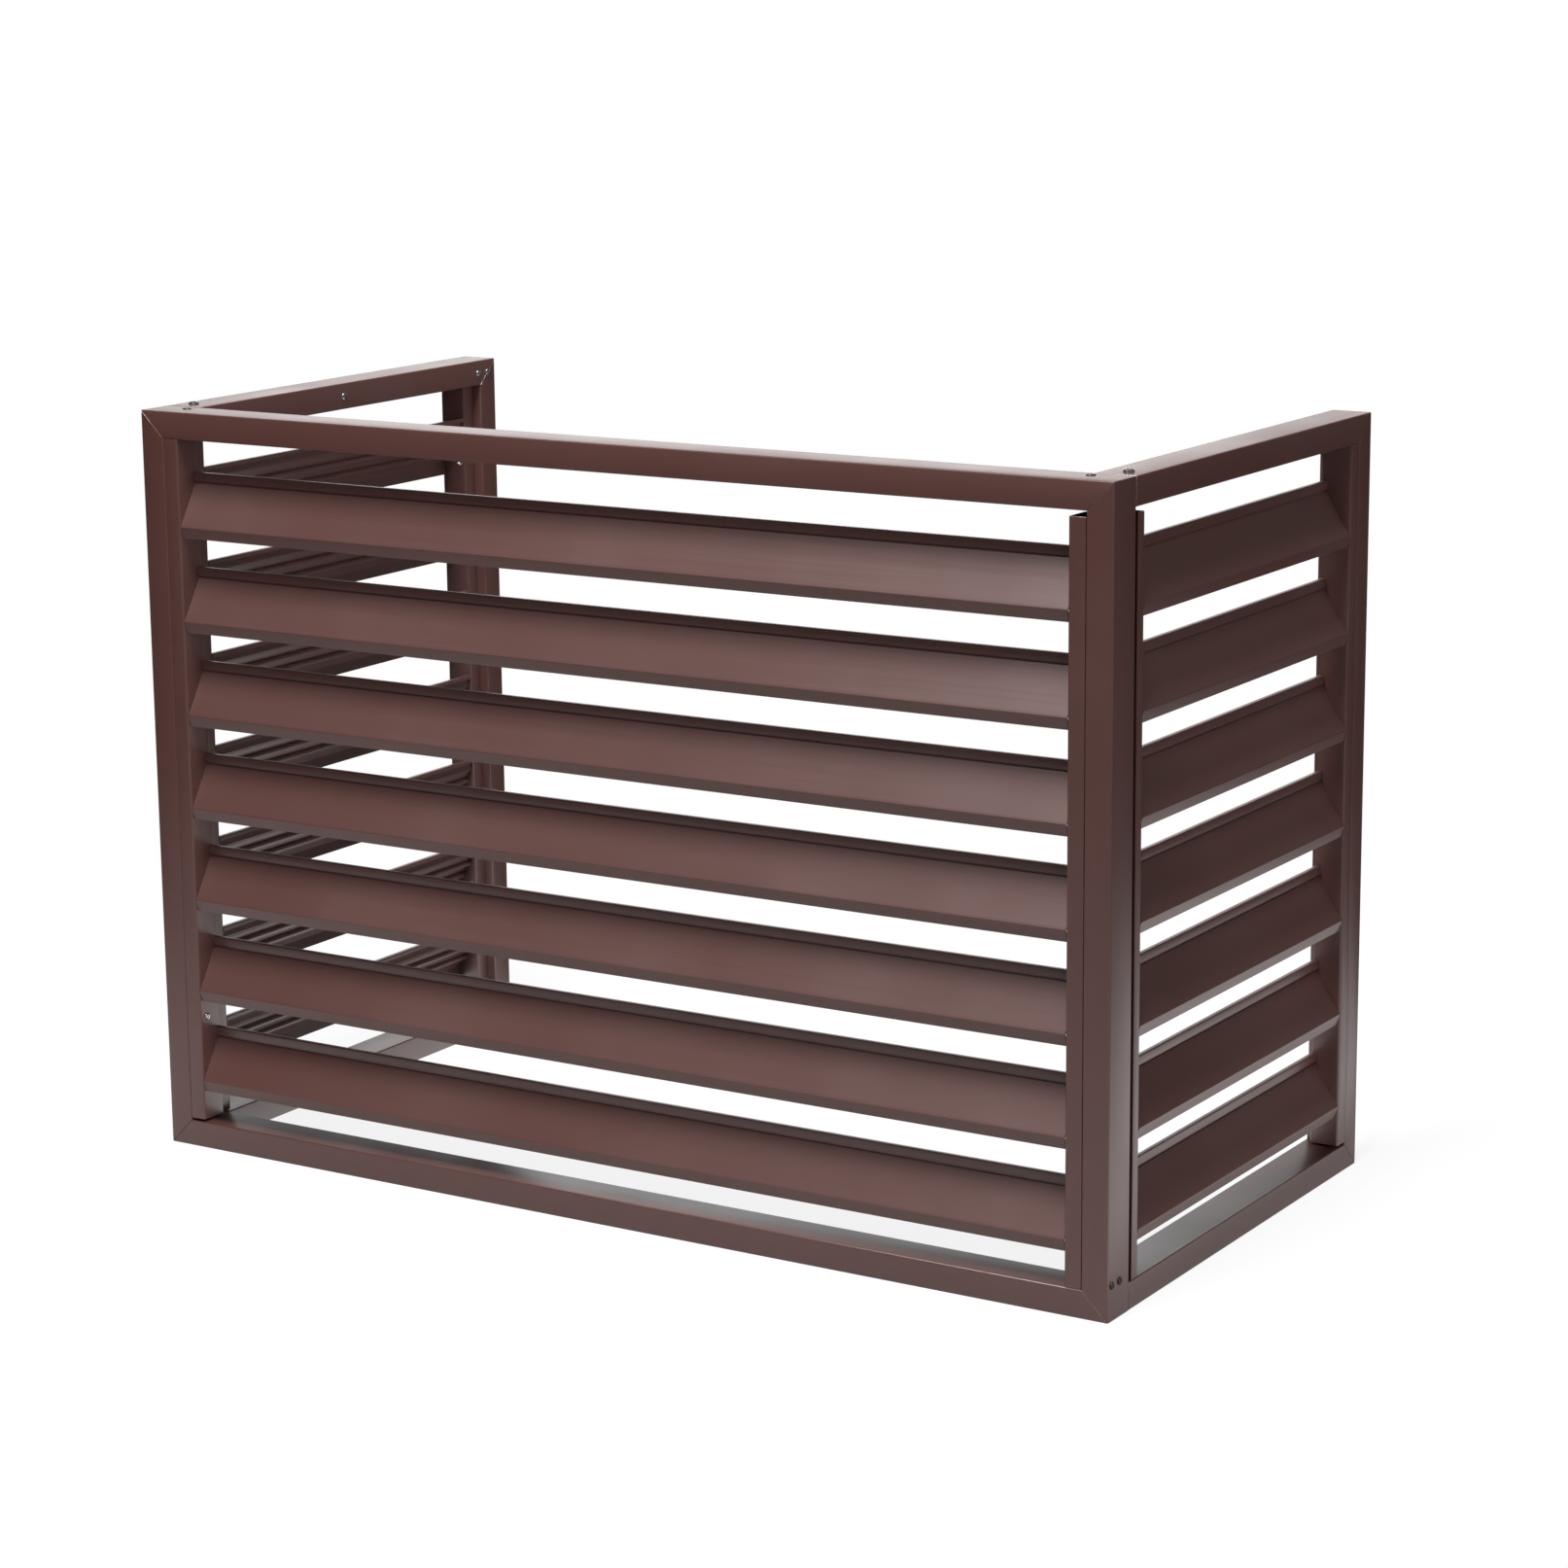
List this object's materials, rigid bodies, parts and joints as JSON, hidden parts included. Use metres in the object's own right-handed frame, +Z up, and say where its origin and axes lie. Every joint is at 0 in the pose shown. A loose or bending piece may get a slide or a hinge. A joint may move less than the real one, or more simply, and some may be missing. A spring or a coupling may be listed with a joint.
{
  "type": "air conditioner screen",
  "caption": "Three-sided louvred cover that stands around an outdoor air conditioner unit, open at the back, top and underside.",
  "frame": {"origin": "on the floor, under the middle of the screen", "axes": "+X to the right seen from the front, +Y back to the wall, +Z up"},
  "size_m": [1.0036, 0.5, 0.7029],
  "materials": {
    "frame_coating": "satin coffee-brown powder coat",
    "jamb_coating": "satin coffee-brown powder coat",
    "blade_coating": "satin coffee-brown powder coat",
    "bare_aluminium": "as extruded",
    "bright_steel": "bright zinc",
    "dark_screw": "dark brown coated"
  },
  "bodies": {
    "root": {"front_blade_1": "blade_coating", "left_blade_1": "blade_coating", "right_blade_1": "blade_coating", "front_blade_2": "blade_coating", "left_blade_2": "blade_coating", "right_blade_2": "blade_coating", "front_blade_3": "blade_coating", "left_blade_3": "blade_coating", "right_blade_3": "blade_coating", "front_blade_4": "blade_coating", "left_blade_4": "blade_coating", "right_blade_4": "blade_coating", "front_blade_5": "blade_coating", "left_blade_5": "blade_coating", "right_blade_5": "blade_coating", "front_blade_6": "blade_coating", "left_blade_6": "blade_coating", "right_blade_6": "blade_coating", "front_blade_7": "blade_coating", "left_blade_7": "blade_coating", "right_blade_7": "blade_coating", "front_jamb_1": "jamb_coating", "front_jamb_2": "jamb_coating", "left_jamb_1": "jamb_coating", "left_jamb_2": "jamb_coating", "right_jamb_1": "jamb_coating", "right_jamb_2": "jamb_coating", "front_top_rail": "frame_coating", "front_bottom_rail": "frame_coating", "front_left_stile": "frame_coating", "front_right_stile": "frame_coating", "left_top_rail": "frame_coating", "left_bottom_rail": "frame_coating", "left_rear_stile": "frame_coating", "right_top_rail": "frame_coating", "right_bottom_rail": "frame_coating", "right_rear_stile": "frame_coating", "front_top_left_cleat": "bare_aluminium", "front_top_right_cleat": "bare_aluminium", "front_bottom_left_cleat": "bare_aluminium", "front_bottom_right_cleat": "bare_aluminium", "left_rear_top_cleat": "bare_aluminium", "left_rear_bottom_cleat": "bare_aluminium", "right_rear_top_cleat": "bare_aluminium", "right_rear_bottom_cleat": "bare_aluminium", "left_top_connector": "bare_aluminium", "left_bottom_connector": "bare_aluminium", "right_top_connector": "bare_aluminium", "right_bottom_connector": "bare_aluminium", "left_top_rail_screw": "bright_steel", "right_top_rail_screw": "bright_steel", "left_rear_screw_1": "bright_steel", "left_rear_screw_2": "bright_steel", "right_rear_screw_1": "bright_steel", "right_rear_screw_2": "bright_steel", "left_stile_screw_1": "dark_screw", "left_stile_screw_2": "dark_screw", "right_stile_screw_1": "dark_screw", "right_stile_screw_2": "dark_screw"}
  },
  "joints": []
}
